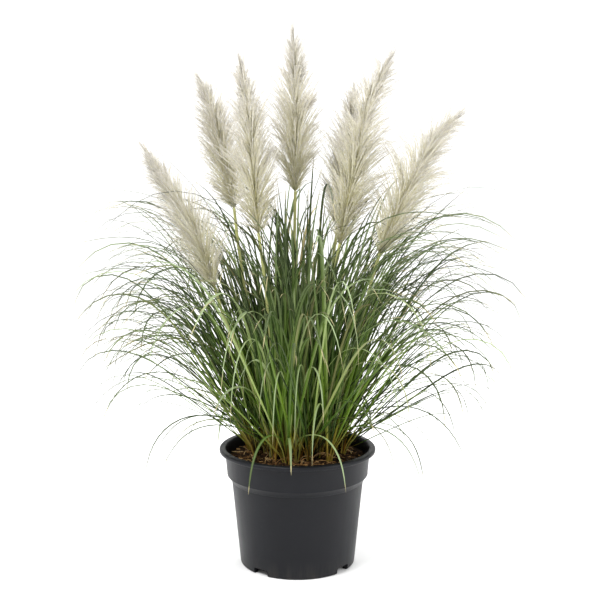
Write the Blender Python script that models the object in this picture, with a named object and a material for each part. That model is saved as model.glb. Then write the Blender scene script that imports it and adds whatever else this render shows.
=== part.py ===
"""A potted pampas grass: a nursery pot, its soil, tufts of arching blades, and seven stalks with plumes.

Metres, +Z up. The origin is on the ground under the middle of the pot. The front is towards -Y.
"""
import math
import random
from collections import namedtuple

import bmesh
import bpy
from mathutils import Matrix, Vector
from mathutils.bvhtree import BVHTree
from mathutils.geometry import intersect_ray_tri

# Pot
pot_height = 0.212
lip_radius = 0.140
lip_width = 0.010
lip_depth = 0.0076
lip_round = 0.003
rim_chamfer_width = 0.0028
rim_chamfer_height = 0.005
collar_foot_height = 0.163
collar_foot_radius = 0.1262
body_top_height = 0.153
body_top_radius = 0.118
foot_radius = 0.1028
foot_round = 0.0035
foot_ring_width = 0.0065
floor_height = 0.010
wall = 0.0022
pot_segments = 36
notch_width = 0.030
notch_height = 0.0115
first_notch_angle = math.radians(-39)
notch_count = 4
drain_radius = 0.008
drain_circle = 0.072

# Soil
soil_gap = 0.0005
soil_edge_height = 0.191
soil_shoulder_radius = 0.072
soil_shoulder_height = 0.2015
soil_crown_height = 0.205
rest_gap = 0.0003

# Stalks and plumes
stalk_radius = 0.0027
stalk_sides = 6
stalk_points = 8
plume_core_radius = 0.0095
plume_core_sides = 4
plume_bands = 10
core_stagger = 0.3
first_band_share = 0.045
last_band_share = 0.90
lock_length = 0.110
cone_radius = 0.122
lowest_opening = 40.0
highest_opening = 21.0
opening_spread = 6.0
swing_spread = 0.25

# Tufts of blades
tuft_count = 44
crown_centre = (0.0, 0.012)
crown_radius = 0.093
tuft_radius = 0.006
tuft_height = 0.036
sheath_flare = 1.2
sheath_depth = 0.0018
slot_width = 0.0046
slot_depth = 0.0034
slots = (-1, 0, 1)
stalk_room = 0.0135
blade_width = 0.0068
blade_thickness = 0.0016
blade_stations = (0.15, 0.33, 0.5, 0.66, 0.82)
blade_room = 0.0006
widest_offset = math.radians(80)
least_spread = math.radians(5)
longest_blade = 0.86
lowest_tip = 0.105
reach = 0.415
path_steps = 32
same_point = 0.000001
most_attempts = 200
bends_to_try = (1.8, 1.5, 2.2, 1.2, 2.7, 1.0, 0.8)

golden_angle = math.pi * (3.0 - math.sqrt(5.0))

Stalk = namedtuple("Stalk", "foot route plume_start blown fullness")
Tuft = namedtuple("Tuft", "number foot azimuth outwardness")
Skin = namedtuple("Skin", "tree corners faces")
Blade = namedtuple("Blade", "tuft slot start azimuth lean droop bend length width twist")

# Each stalk stands on its foot (x, y) and follows its route to the plume's tip. The plume begins
# at the numbered point of the route, and its locks are blown in the given direction.
stalks = (
    Stalk((-0.046, -0.030), ((-0.075, -0.042, 0.320), (-0.101, -0.050, 0.400), (-0.122, -0.050, 0.440),
                             (-0.142, -0.050, 0.505), (-0.178, -0.050, 0.610), (-0.225, -0.050, 0.686),
                             (-0.263, -0.050, 0.748)), 3, (-0.18, 0.0, -0.10), 0.90),
    Stalk((-0.052, 0.040), ((-0.074, 0.052, 0.330), (-0.089, 0.060, 0.442), (-0.106, 0.060, 0.560),
                            (-0.114, 0.060, 0.635), (-0.131, 0.060, 0.726), (-0.154, 0.060, 0.817),
                            (-0.181, 0.060, 0.873)), 3, (0.0, 0.0, -0.05), 0.95),
    Stalk((-0.022, -0.018), ((-0.035, -0.026, 0.320), (-0.045, -0.030, 0.400), (-0.057, -0.030, 0.517),
                             (-0.067, -0.030, 0.597), (-0.074, -0.030, 0.698), (-0.083, -0.030, 0.806),
                             (-0.098, -0.030, 0.900)), 3, (0.05, 0.0, -0.05), 0.90),
    Stalk((0.002, 0.020), ((-0.004, 0.026, 0.350), (-0.007, 0.030, 0.493), (-0.005, 0.030, 0.600),
                           (-0.004, 0.030, 0.666), (-0.004, 0.030, 0.762), (-0.005, 0.030, 0.895),
                           (-0.011, 0.030, 0.954)), 3, (0.0, 0.0, -0.05), 0.95),
    Stalk((0.030, 0.058), ((0.045, 0.082, 0.350), (0.056, 0.095, 0.450), (0.066, 0.100, 0.540),
                           (0.073, 0.100, 0.599), (0.084, 0.100, 0.682), (0.094, 0.100, 0.772),
                           (0.103, 0.100, 0.858)), 3, (0.12, 0.0, -0.05), 0.90),
    Stalk((0.024, -0.010), ((0.037, -0.004, 0.340), (0.048, 0.0, 0.422), (0.062, 0.0, 0.510),
                            (0.074, 0.0, 0.575), (0.097, 0.0, 0.697), (0.122, 0.0, 0.815),
                            (0.166, 0.0, 0.908)), 3, (0.35, 0.0, -0.12), 1.0),
    Stalk((0.054, -0.022), ((0.085, -0.028, 0.340), (0.108, -0.030, 0.427), (0.127, -0.030, 0.508),
                            (0.142, -0.030, 0.560), (0.179, -0.030, 0.650), (0.234, -0.030, 0.759),
                            (0.287, -0.030, 0.807)), 3, (0.33, 0.0, -0.24), 1.0),
)

# Tips of the blades that make the outline: x, y, z, and the blade's angle there from straight up
marked_tips = (
    (-0.38, 0.06, 0.67, 95), (-0.33, 0.10, 0.62, 125), (-0.35, -0.12, 0.57, 150), (-0.41, 0.02, 0.57, 110),
    (-0.29, 0.18, 0.58, 120), (-0.36, -0.06, 0.53, 135), (-0.37, 0.14, 0.50, 150), (-0.415, -0.02, 0.51, 115),
    (-0.37, -0.10, 0.44, 160), (-0.33, 0.20, 0.45, 160), (-0.40, 0.05, 0.40, 145), (-0.40, -0.07, 0.36, 165),
    (-0.39, 0.12, 0.32, 155), (-0.38, -0.02, 0.26, 155), (-0.33, -0.14, 0.28, 165), (-0.31, -0.20, 0.36, 155),
    (-0.32, 0.08, 0.22, 160), (-0.28, 0.14, 0.22, 165), (-0.27, -0.05, 0.16, 175), (-0.25, 0.02, 0.12, 175),
    (-0.23, -0.11, 0.20, 160), (-0.21, 0.07, 0.17, 176), (-0.29, -0.02, 0.31, 110), (-0.24, -0.14, 0.23, 160),
    (-0.29, 0.06, 0.77, 55), (-0.25, -0.02, 0.75, 90), (-0.18, 0.14, 0.68, 100), (-0.16, -0.13, 0.60, 110),
    (0.32, 0.08, 0.68, 55), (0.34, 0.10, 0.63, 105), (0.30, -0.12, 0.62, 112), (0.38, 0.02, 0.60, 115),
    (0.38, -0.08, 0.56, 125), (0.36, 0.16, 0.57, 110), (0.415, 0.0, 0.47, 140), (0.33, -0.17, 0.54, 132),
    (0.36, -0.06, 0.49, 150), (0.40, 0.08, 0.43, 155), (0.33, 0.18, 0.42, 155), (0.35, -0.12, 0.43, 155),
    (0.40, -0.04, 0.33, 172), (0.34, 0.14, 0.34, 150), (0.36, -0.10, 0.36, 155), (0.35, 0.03, 0.30, 150),
    (0.34, -0.06, 0.25, 168), (0.36, 0.07, 0.26, 150), (0.31, 0.02, 0.17, 160), (0.30, 0.10, 0.19, 175),
    (0.23, 0.01, 0.14, 172), (0.25, -0.08, 0.18, 168), (0.22, -0.05, 0.15, 168), (0.26, -0.14, 0.25, 160),
    (0.21, 0.09, 0.19, 155), (0.17, -0.09, 0.17, 177), (0.18, 0.12, 0.70, 55), (0.14, -0.12, 0.62, 95),
    (-0.04, 0.11, 0.70, 12), (0.03, 0.07, 0.74, 15), (0.05, -0.07, 0.73, 25), (0.02, 0.13, 0.68, 20),
    (-0.14, -0.15, 0.30, 165), (-0.08, -0.19, 0.18, 172), (-0.01, -0.18, 0.21, 174), (0.08, -0.18, 0.18, 174),
    (-0.10, -0.24, 0.35, 150), (0.13, -0.17, 0.27, 165), (0.05, -0.30, 0.40, 140), (-0.05, -0.36, 0.45, 130),
    (0.04, -0.415, 0.44, 125), (-0.16, -0.34, 0.46, 135), (0.18, -0.32, 0.45, 135), (-0.24, -0.27, 0.42, 145),
    (0.25, -0.26, 0.40, 145), (-0.03, 0.415, 0.46, 135), (0.10, 0.38, 0.50, 130), (-0.15, 0.36, 0.40, 150),
    (0.20, 0.33, 0.36, 158), (-0.22, 0.31, 0.30, 165), (0.06, 0.33, 0.27, 168), (-0.08, 0.30, 0.20, 172),
    (0.15, 0.24, 0.17, 175), (-0.16, 0.22, 0.15, 176), (0.27, 0.25, 0.25, 165), (-0.10, 0.27, 0.60, 110),
    (0.10, 0.25, 0.64, 95), (0.24, 0.24, 0.55, 125),
)


def clear_scene():
    for obj in list(bpy.data.objects):
        bpy.data.objects.remove(obj, do_unlink=True)


def surface(name, colour, roughness, metallic=0.0):
    material = bpy.data.materials.new(name)
    material.use_nodes = True
    shader = material.node_tree.nodes["Principled BSDF"]
    shader.inputs["Base Color"].default_value = (*colour, 1.0)
    shader.inputs["Roughness"].default_value = roughness
    shader.inputs["Metallic"].default_value = metallic
    material.diffuse_color = (*colour, 1.0)
    return material


def add_object(name, shape, material=None):
    """Put a bmesh into the scene as an object of that name."""
    mesh = bpy.data.meshes.new(name)
    shape.to_mesh(mesh)
    shape.free()
    obj = bpy.data.objects.new(name, mesh)
    bpy.context.scene.collection.objects.link(obj)
    if material is not None:
        mesh.materials.append(material)
    return obj


def make_cutter(obj):
    """A tool that only shapes another object."""
    obj.hide_render = True
    obj.display_type = "WIRE"


def face_outward(shape):
    """Turn all faces of a closed shape outwards."""
    bmesh.ops.recalc_face_normals(shape, faces=shape.faces)
    if shape.calc_volume(signed=True) < 0.0:
        bmesh.ops.reverse_faces(shape, faces=shape.faces)


def turned(profile, segments):
    """A profile of (radius, height) points, turned about the z axis. Both ends are on the axis."""
    shape = bmesh.new()
    points = [shape.verts.new((radius, 0.0, height)) for radius, height in profile]
    edges = [shape.edges.new(pair) for pair in zip(points, points[1:])]
    bmesh.ops.spin(shape, geom=points + edges, cent=(0.0, 0.0, 0.0), axis=(0.0, 0.0, 1.0),
                   angle=math.tau, steps=segments, use_merge=True)
    bmesh.ops.remove_doubles(shape, verts=shape.verts, dist=0.00001)
    face_outward(shape)
    return shape


def ring_around(centre, along, radius, sides, turn=0.0):
    """Points of a circle about a centre, square to a direction."""
    first, second = cross_directions(along)
    angles = [turn + math.tau * i / sides for i in range(sides)]
    return [centre + radius * (math.cos(a) * first + math.sin(a) * second) for a in angles]


def cross_directions(along):
    """Two directions square to the given one and to each other."""
    along = along.normalized()
    first = along.orthogonal().normalized()
    return first, along.cross(first)


def smooth_route(points, count):
    """A smooth curve through the points, read at evenly spaced places."""
    points = [Vector(point) for point in points]
    ends = [2 * points[0] - points[1]] + points + [2 * points[-1] - points[-2]]
    fine = []
    for before, start, end, after in zip(ends, ends[1:], ends[2:], ends[3:]):
        for i in range(12):
            t = i / 12
            fine.append(0.5 * (2 * start + (end - before) * t
                               + (2 * before - 5 * start + 4 * end - after) * t ** 2
                               + (3 * start - before - 3 * end + after) * t ** 3))
    fine.append(points[-1])
    travelled = [0.0]
    for start, end in zip(fine, fine[1:]):
        travelled.append(travelled[-1] + (end - start).length)
    route = []
    at = 0
    for i in range(count):
        wanted = travelled[-1] * i / (count - 1)
        while at < len(fine) - 2 and travelled[at + 1] < wanted:
            at += 1
        share = (wanted - travelled[at]) / (travelled[at + 1] - travelled[at])
        route.append(fine[at].lerp(fine[at + 1], share))
    return route


def along_route(route, share):
    """The point and the direction at a share of a route of evenly spaced points."""
    place = min(max(share, 0.0), 0.9999) * (len(route) - 1)
    i = int(place)
    return route[i].lerp(route[i + 1], place - i), (route[i + 1] - route[i]).normalized()


def soil_height(radius):
    """Height of the soil's surface at a distance from the pot's axis."""
    if radius < soil_shoulder_radius:
        share = radius / soil_shoulder_radius
        return soil_crown_height + (soil_shoulder_height - soil_crown_height) * share
    share = (radius - soil_shoulder_radius) / (lip_radius - lip_width - soil_shoulder_radius)
    return soil_shoulder_height + (soil_edge_height - soil_shoulder_height) * share


def make_pot(material):
    """A moulded nursery pot: rolled lip, straight collar, tapered body, raised floor, foot notches."""
    lip_foot = pot_height - lip_depth
    collar_top_radius = lip_radius - lip_width
    outside = [
        (collar_top_radius - wall + rim_chamfer_width, pot_height),
        (lip_radius - lip_round, pot_height),
        (lip_radius, pot_height - lip_round),
        (lip_radius, lip_foot + lip_round),
        (lip_radius - 0.0015, lip_foot),
        (collar_top_radius, lip_foot),
        (collar_foot_radius, collar_foot_height),
        (body_top_radius, body_top_height),
        (foot_radius, foot_round),
        (foot_radius - 0.003, 0.0),
        (foot_radius - 0.003 - foot_ring_width, 0.0),
        (foot_radius - 0.003 - foot_ring_width, floor_height),
    ]
    inside = [
        (foot_radius - wall, floor_height + wall),
        (body_top_radius - wall, body_top_height + 0.0006),
        (collar_foot_radius - wall, collar_foot_height + 0.0006),
        (collar_top_radius - wall, pot_height - rim_chamfer_height),
    ]
    profile = [(0.0, floor_height + wall)] + inside + outside + [(0.0, floor_height)]
    pot = add_object("nursery_pot", turned(profile, pot_segments), material)
    openings = bmesh.new()
    for i in range(notch_count):
        angle = first_notch_angle - math.pi / 2 + i * math.tau / notch_count
        turn = Matrix.Rotation(angle, 4, "Z")
        notch = bmesh.ops.create_cube(openings, size=1.0)["verts"]
        bmesh.ops.scale(openings, verts=notch, vec=(0.030, notch_width, 2 * notch_height))
        bmesh.ops.translate(openings, verts=notch, vec=(foot_radius - 0.004, 0.0, 0.0))
        bmesh.ops.transform(openings, verts=notch, matrix=turn)
        drain = bmesh.ops.create_cone(openings, cap_ends=True, segments=10, radius1=drain_radius,
                                      radius2=drain_radius, depth=0.02)["verts"]
        bmesh.ops.translate(openings, verts=drain, vec=(drain_circle, 0.0, floor_height + 0.0021))
        bmesh.ops.transform(openings, verts=drain, matrix=turn)
    cutter = add_object("drain_openings", openings)
    make_cutter(cutter)
    cut = pot.modifiers.new("drain openings", "BOOLEAN")
    cut.operation = "DIFFERENCE"
    cut.solver = "EXACT"
    cut.object = cutter


def make_soil(material):
    """Potting soil that fills the pot to just under its lip, a little domed."""
    inner = lip_radius - lip_width - wall - soil_gap
    collar_inner = collar_foot_radius - wall - soil_gap
    body_inner = body_top_radius - wall - soil_gap
    rise = (soil_edge_height - collar_foot_height) / (pot_height - collar_foot_height)
    edge_radius = collar_inner + (inner - collar_inner) * rise
    profile = [
        (0.0, soil_crown_height),
        (soil_shoulder_radius, soil_shoulder_height),
        (edge_radius, soil_edge_height),
        (collar_inner, collar_foot_height + 0.0006 + soil_gap),
        (body_inner, body_top_height + 0.0006 + soil_gap),
        (foot_radius - wall - soil_gap, floor_height + wall + soil_gap),
        (0.0, floor_height + wall + soil_gap),
    ]
    add_object("potting_soil", turned(profile, pot_segments), material)


def stalk_route(stalk):
    """The whole line of a stalk and its plume, from the soil to the plume's tip."""
    foot = Vector((*stalk.foot, soil_height(math.hypot(*stalk.foot)) + rest_gap))
    return [foot, foot + Vector((0.0, 0.0, 0.02))] + [Vector(point) for point in stalk.route]


def make_stalk(number, stalk, material):
    """A plain tapering stem from the soil to the plume. Returns its skin."""
    points = stalk_route(stalk)[:stalk.plume_start + 3]
    route = [points[0]] + smooth_route(points[1:], stalk_points)
    name = f"flower_stem_{number}"
    curve = bpy.data.curves.new(name, "CURVE")
    curve.dimensions = "3D"
    curve.bevel_depth = stalk_radius
    curve.bevel_resolution = (stalk_sides - 4) // 2
    curve.use_fill_caps = True
    curve.render_resolution_u = 0
    spline = curve.splines.new("POLY")
    spline.points.add(len(route) - 1)
    for i, point in enumerate(route):
        spline.points[i].co = (*point, 1.0)
        spline.points[i].radius = 1.1 - 0.25 * i / (len(route) - 1)
    stem = bpy.data.objects.new(name, curve)
    bpy.context.scene.collection.objects.link(stem)
    curve.materials.append(material)
    rings = [ring_around(route[i], route[min(i + 1, len(route) - 1)] - route[max(i - 1, 0)],
                         1.3 * stalk_radius, stalk_sides) for i in range(len(route))]
    return skin(rings, route[-1])


def plume_axis(stalk):
    """The plume's midline, from just above the end of its stem to its tip."""
    route = smooth_route(stalk_route(stalk)[stalk.plume_start + 2:], 25)
    along = (route[1] - route[0]).normalized()
    route[0] = route[0] + along * rest_gap
    return route


def lock_tip(root, outward, along, share, length, stalk, shrink, rng):
    """The point of one lock of hairs. Locks rise off the midline, and near the top they keep to a cone."""
    opening = lowest_opening + (highest_opening - lowest_opening) * share
    opening = math.radians(opening + rng.uniform(-opening_spread, opening_spread))
    swing = Matrix.Rotation(rng.uniform(-swing_spread, swing_spread), 3, along)
    direction = along * math.cos(opening) + swing @ outward * math.sin(opening)
    full = lock_length * (1.0 - 0.5 * share) * min(1.0, 0.66 + 2.0 * share)
    closing = math.sin(opening) + cone_radius / length * math.cos(opening)
    to_cone = (cone_radius - plume_core_radius) * (1.0 - share) / closing
    lock = shrink * stalk.fullness * min(full, to_cone) * rng.uniform(0.80, 1.10)
    return root + direction * lock + Vector(stalk.blown) * 0.65 * lock


def make_plume(number, stalk, material):
    """A feathery flower head: a slim core whose every face is drawn out into a lock. Returns its skins."""
    axis = plume_axis(stalk)
    length = sum((end - start).length for start, end in zip(axis, axis[1:]))
    rng = random.Random(230 + number)
    shares = [0.0] + [first_band_share + (last_band_share - first_band_share) * i / (plume_bands - 1)
                      for i in range(plume_bands)]
    shape = bmesh.new()
    rows = []
    for i, share in enumerate(shares):
        centre, along = along_route(axis, share)
        radius = plume_core_radius * (0.45 if i == 0 else 1.0 - 0.65 * share)
        turn = math.pi / plume_core_sides * i
        stagger = 0.0 if i == 0 else core_stagger * length / plume_bands
        rows.append([shape.verts.new(point + along * rng.uniform(-stagger, stagger))
                     for point in ring_around(centre, along, radius, plume_core_sides, turn)])
    shape.faces.new(list(reversed(rows[0])))
    faces = []
    for row, above in zip(rows, rows[1:]):
        for i in range(plume_core_sides):
            faces.append((row[i - 1], row[i], above[i - 1]))
            faces.append((row[i], above[i], above[i - 1]))
    walls = [flat_skin([corner.co for corner in corners]) for corners in faces]
    walls.append(skin([[corner.co for corner in rows[-1]]], axis[-1]))
    for place, corners in enumerate(faces):
        root = sum((corner.co for corner in corners), Vector()) / 3.0
        share = nearest_share(axis, root)
        centre, along = along_route(axis, share)
        outward = (root - centre).normalized()
        for attempt in range(most_attempts):
            shrink = 1.0 - 0.95 * attempt / most_attempts
            tip = lock_tip(root, outward, along, share, length, stalk, shrink, rng)
            lock = skin([[corner.co for corner in corners]], tip)
            others = walls[:place] + walls[place + 1:]
            if not any(meets(lock, wall) or folds_over(lock, wall) for wall in others):
                break
        walls[place] = lock
        end = shape.verts.new(tip)
        for i in range(3):
            shape.faces.new((corners[i - 1], corners[i], end))
    top = shape.verts.new(axis[-1])
    for i in range(plume_core_sides):
        shape.faces.new((rows[-1][i - 1], rows[-1][i], top))
    face_outward(shape)
    add_object(f"plume_{number}", shape, material)
    return walls


def nearest_share(route, point):
    """The share of a route of evenly spaced points at which it passes nearest to a point."""
    nearest = min(range(len(route)), key=lambda i: (route[i] - point).length)
    return nearest / (len(route) - 1)


def crown_tufts():
    """Tufts spread over the crown like seeds in a flower head, with room left for the stalks."""
    tufts = []
    i = 0
    while len(tufts) < tuft_count:
        outwardness = math.sqrt((i + 0.5) / 60.0)
        azimuth = i * golden_angle
        i += 1
        radius = crown_radius * outwardness
        spot = Vector(crown_centre) + radius * Vector((math.cos(azimuth), math.sin(azimuth)))
        if any((spot - Vector(stalk.foot)).length < stalk_room for stalk in stalks):
            continue
        height = soil_height(max(spot.length - tuft_radius, 0.0)) + rest_gap
        tufts.append(Tuft(len(tufts) + 1, Vector((*spot, height)), azimuth % math.tau, outwardness))
    return tufts


def fan_direction(tuft):
    """The level direction in which a tuft's slots stand side by side."""
    return Vector((-math.sin(tuft.azimuth), math.cos(tuft.azimuth), 0.0))


def slot_point(tuft, slot):
    """The middle of a slot's flat inner side, at the top of the tuft's sheath."""
    return tuft.foot + Vector((0.0, 0.0, tuft_height)) + fan_direction(tuft) * slot * slot_width


def tilt_at(share, lean, droop, bend):
    """A blade's angle from straight up, at a share of its length."""
    return lean + (droop - lean) * math.sin(0.5 * math.pi * share ** bend) ** 2


def mean_heading(lean, droop, bend):
    """Mean outward and upward parts of a blade's direction."""
    tilts = [tilt_at((i + 0.5) / path_steps, lean, droop, bend) for i in range(path_steps)]
    return sum(map(math.sin, tilts)) / path_steps, sum(map(math.cos, tilts)) / path_steps


def aimed_blade(tuft, slot, tip, droop, bend, width, twist):
    """The blade from a tuft's slot that ends at the given tip, with its end at the droop angle."""
    start = slot_point(tuft, slot)
    azimuth = math.atan2(tip.y - start.y, tip.x - start.x)
    run = math.hypot(tip.x - start.x, tip.y - start.y)
    rise = tip.z - start.z
    chord = math.atan2(run, rise)
    low = math.radians(-25)
    high = math.radians(130)
    for _ in range(24):
        lean = 0.5 * (low + high)
        outward, upward = mean_heading(lean, droop, bend)
        if math.atan2(outward, upward) < chord:
            low = lean
        else:
            high = lean
    length = math.hypot(run, rise) / math.hypot(outward, upward)
    return Blade(tuft, slot, start, azimuth, lean, droop, bend, length, width, twist)


def blade_path(blade, steps=path_steps):
    """Points along the middle of a blade, with the tilt at each."""
    point = blade.start.copy()
    path = [(point.copy(), tilt_at(0.0, blade.lean, blade.droop, blade.bend))]
    for i in range(steps):
        tilt = tilt_at((i + 0.5) / steps, blade.lean, blade.droop, blade.bend)
        point += blade.length / steps * heading(blade.azimuth, tilt)
        path.append((point.copy(), tilt_at((i + 1) / steps, blade.lean, blade.droop, blade.bend)))
    return path


def heading(azimuth, tilt):
    return Vector((math.sin(tilt) * math.cos(azimuth), math.sin(tilt) * math.sin(azimuth), math.cos(tilt)))


def random_tip(tuft, slot, rng):
    """A tip and droop that suit a tuft: inner tufts stand up, outer ones arch over and hang."""
    spread = math.radians(34.0 + 22.0 * (1.0 - tuft.outwardness))
    azimuth = tuft.azimuth + spread * (slot + rng.uniform(-0.45, 0.45))
    polar = min(max(rng.gauss(14.0 + 78.0 * tuft.outwardness, 15.0), 4.0), 104.0)
    in_front = math.sin(azimuth) < -0.55
    if in_front:
        polar = min(polar, 74.0)
    span = (0.53 - 0.13 * (polar / 90.0) ** 2) * rng.uniform(0.72, 1.0)
    droop = 8.0 + 1.95 * polar + rng.uniform(-12.0, 12.0)
    radius = min(span * math.sin(math.radians(polar)) + 0.02, reach - 0.012)
    height = max(0.215 + span * math.cos(math.radians(polar)), 0.125)
    tip = Vector((radius * math.cos(azimuth), radius * math.sin(azimuth), height))
    return tip, math.radians(min(droop, 178.0))


def offset_from(tuft, azimuth):
    """How far an azimuth is turned from the tuft's own, between minus and plus half a turn."""
    return (azimuth - tuft.azimuth + math.pi) % math.tau - math.pi


def over_the_lip(point):
    """Whether a point is clear of the pot's wall and lip."""
    radius = math.hypot(point.x, point.y)
    inside = radius < lip_radius - lip_width - wall - 0.006
    outside = radius > lip_radius + 0.006
    return inside or outside or point.z > pot_height + 0.006


def in_order(blade, neighbours):
    """Whether blades side by side in a tuft fan out in the order of their slots."""
    offset = offset_from(blade.tuft, blade.azimuth)
    if abs(offset) > widest_offset:
        return False
    return all((offset_from(blade.tuft, other.azimuth) - offset) * (other.slot - blade.slot) > least_spread
               for other in neighbours)


def skin(rings, tip):
    """The faces between rings of points that end in a tip, to test what they touch."""
    sides = len(rings[0])
    corners = [corner.copy() for ring in rings for corner in ring] + [tip]
    faces = []
    for i in range(len(rings) - 1):
        for k in range(sides):
            near = i * sides + k
            far = i * sides + (k + 1) % sides
            faces += [(near, far, far + sides), (near, far + sides, near + sides)]
    last = (len(rings) - 1) * sides
    faces += [(last + k, last + (k + 1) % sides, last + sides) for k in range(sides)]
    return Skin(BVHTree.FromPolygons(corners, faces), corners, faces)


def flat_skin(corners):
    corners = [corner.copy() for corner in corners]
    faces = [tuple(range(len(corners)))]
    return Skin(BVHTree.FromPolygons(corners, faces), corners, faces)


def meets(one, other):
    """Whether two skins meet anywhere but where they share a corner."""
    for face, other_face in one.tree.overlap(other.tree):
        shared = any((one.corners[i] - other.corners[k]).length < same_point
                     for i in one.faces[face] for k in other.faces[other_face])
        if not shared:
            return True
    return False


def folds_over(one, other):
    """Whether two skins with a corner in common cross anywhere near it."""
    for face, other_face in one.tree.overlap(other.tree):
        corners = [one.corners[i] for i in one.faces[face]]
        others = [other.corners[i] for i in other.faces[other_face]]
        if crosses_face(corners, others) or crosses_face(others, corners):
            return True
    return False


def crosses_face(corners, face):
    """Whether the edge of one face that lies across from a shared corner goes through the other face."""
    loose = [corner for corner in corners if all((corner - other).length > same_point for other in face)]
    if len(loose) != 2:
        return False
    edge = loose[1] - loose[0]
    hit = intersect_ray_tri(*face, edge, loose[0], True)
    return hit is not None and 0.0 < (hit - loose[0]).dot(edge) < edge.length_squared


def blade_skin(blade, room=0.0):
    """A blade's skin with some room round it, from the top of its sheath on."""
    path = blade_path(blade)
    rings = [blade_ring(blade, share, path, room) for share in blade_stations]
    return skin([slot_corners(blade.tuft, blade.slot)] + rings, path[-1][0])


def slot_corners(tuft, slot):
    """The three corners that a blade grows from at the top of its sheath: two flat, one on the keel."""
    middle = slot_point(tuft, slot)
    half = 0.5 * slot_width * fan_direction(tuft)
    outward = Vector((math.cos(tuft.azimuth), math.sin(tuft.azimuth), 0.0))
    return [middle - half, middle + half, middle + slot_depth * outward]


def sheath_skin(tuft):
    """The outline of a tuft's sheath as four sides that close over its top."""
    outward = Vector((math.cos(tuft.azimuth), math.sin(tuft.azimuth), 0.0))
    fan = fan_direction(tuft) * slot_width * (0.5 + slots[-1])
    rings = []
    for height, flare in ((0.0, sheath_flare), (tuft_height, 1.0)):
        centre = tuft.foot + Vector((0.0, 0.0, height))
        rings.append([centre + flare * (fan * across + outward * along)
                      for across, along in ((-1, -sheath_depth), (1, -sheath_depth),
                                            (1, slot_depth), (-1, slot_depth))])
    return skin(rings, tuft.foot + Vector((0.0, 0.0, tuft_height + rest_gap)))


class Planting:
    """The blades chosen so far, and everything that a new blade has to stay clear of."""

    def __init__(self, tufts, standing):
        self.blades = {tuft.number: [] for tuft in tufts}
        self.standing = standing
        self.sheaths = {tuft.number: sheath_skin(tuft) for tuft in tufts}
        self.skins = {tuft.number: [] for tuft in tufts}

    def free_slots(self, tuft):
        taken = [blade.slot for blade in self.blades[tuft.number]]
        return [slot for slot in slots if slot not in taken]

    def touches(self, blade):
        """Whether a blade with room round it meets a stalk, a plume, a sheath or another blade."""
        roomy = blade_skin(blade, blade_room)
        if any(meets(roomy, other) for other in self.standing):
            return True
        for number, sheath in self.sheaths.items():
            if number == blade.tuft.number:
                bare = blade_skin(blade)
                if any(meets(bare, other) for other in [bare] + self.skins[number]):
                    return True
            elif any(meets(roomy, other) for other in [sheath] + self.skins[number]):
                return True
        return False

    def place(self, tuft, blade):
        """Add the blade where it fits, and say whether it did."""
        if not math.radians(-8) < blade.lean < math.radians(66) or blade.length > longest_blade:
            return False
        if not all(over_the_lip(point) and point.z > lowest_tip for point, _ in blade_path(blade)):
            return False
        if not in_order(blade, self.blades[tuft.number]) or self.touches(blade):
            return False
        self.skins[tuft.number].append(blade_skin(blade))
        self.blades[tuft.number].append(blade)
        return True


def any_width(rng):
    return blade_width * rng.uniform(0.85, 1.15), rng.uniform(-0.5, 0.5)


def place_marked_tip(planting, tufts, x, y, z, angle, rng):
    """Grow a blade to a marked tip, from the best tuft that has room for it."""
    tip = Vector((x, y, z))
    polar = math.atan2(math.hypot(x, y), z - 0.215)
    wanted = min(polar / math.radians(95.0), 1.0) * crown_radius
    spot = Vector((x, y, 0.0)).normalized() * wanted
    for tuft in sorted(tufts, key=lambda tuft: (tuft.foot.xy - spot.xy).length)[:24]:
        for slot in planting.free_slots(tuft):
            for bend in bends_to_try:
                blade = aimed_blade(tuft, slot, tip, math.radians(angle), bend, *any_width(rng))
                if planting.place(tuft, blade):
                    return


def choose_blades(tufts, standing):
    """The blades of every tuft: first those with a marked tip, and then random ones in the free slots."""
    rng = random.Random(7)
    planting = Planting(tufts, standing)
    for row in marked_tips:
        place_marked_tip(planting, tufts, *row, rng)
    for tuft in tufts:
        for slot in planting.free_slots(tuft):
            for _ in range(most_attempts):
                tip, droop = random_tip(tuft, slot, rng)
                blade = aimed_blade(tuft, slot, tip, droop, rng.uniform(1.1, 2.2), *any_width(rng))
                if planting.place(tuft, blade):
                    break
    return planting.blades


def blade_ring(blade, share, path, room=0.0):
    """A blade's keeled section, flat above and ridged below, with some room round it."""
    point, tilt = path[round(share * path_steps)]
    ahead = heading(blade.azimuth, tilt)
    side = Vector((-math.sin(blade.azimuth), math.cos(blade.azimuth), 0.0))
    across = Matrix.Rotation(blade.twist * share, 3, ahead) @ side
    above = ahead.cross(across)
    widest = blade.width * (0.85 + 0.6 * share * (1.0 - share)) * (1.0 - share ** 3)
    half = 0.5 * widest + room
    flat = point + above * room
    return [flat - across * half, flat + across * half, point - above * (blade_thickness + room)]


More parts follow.
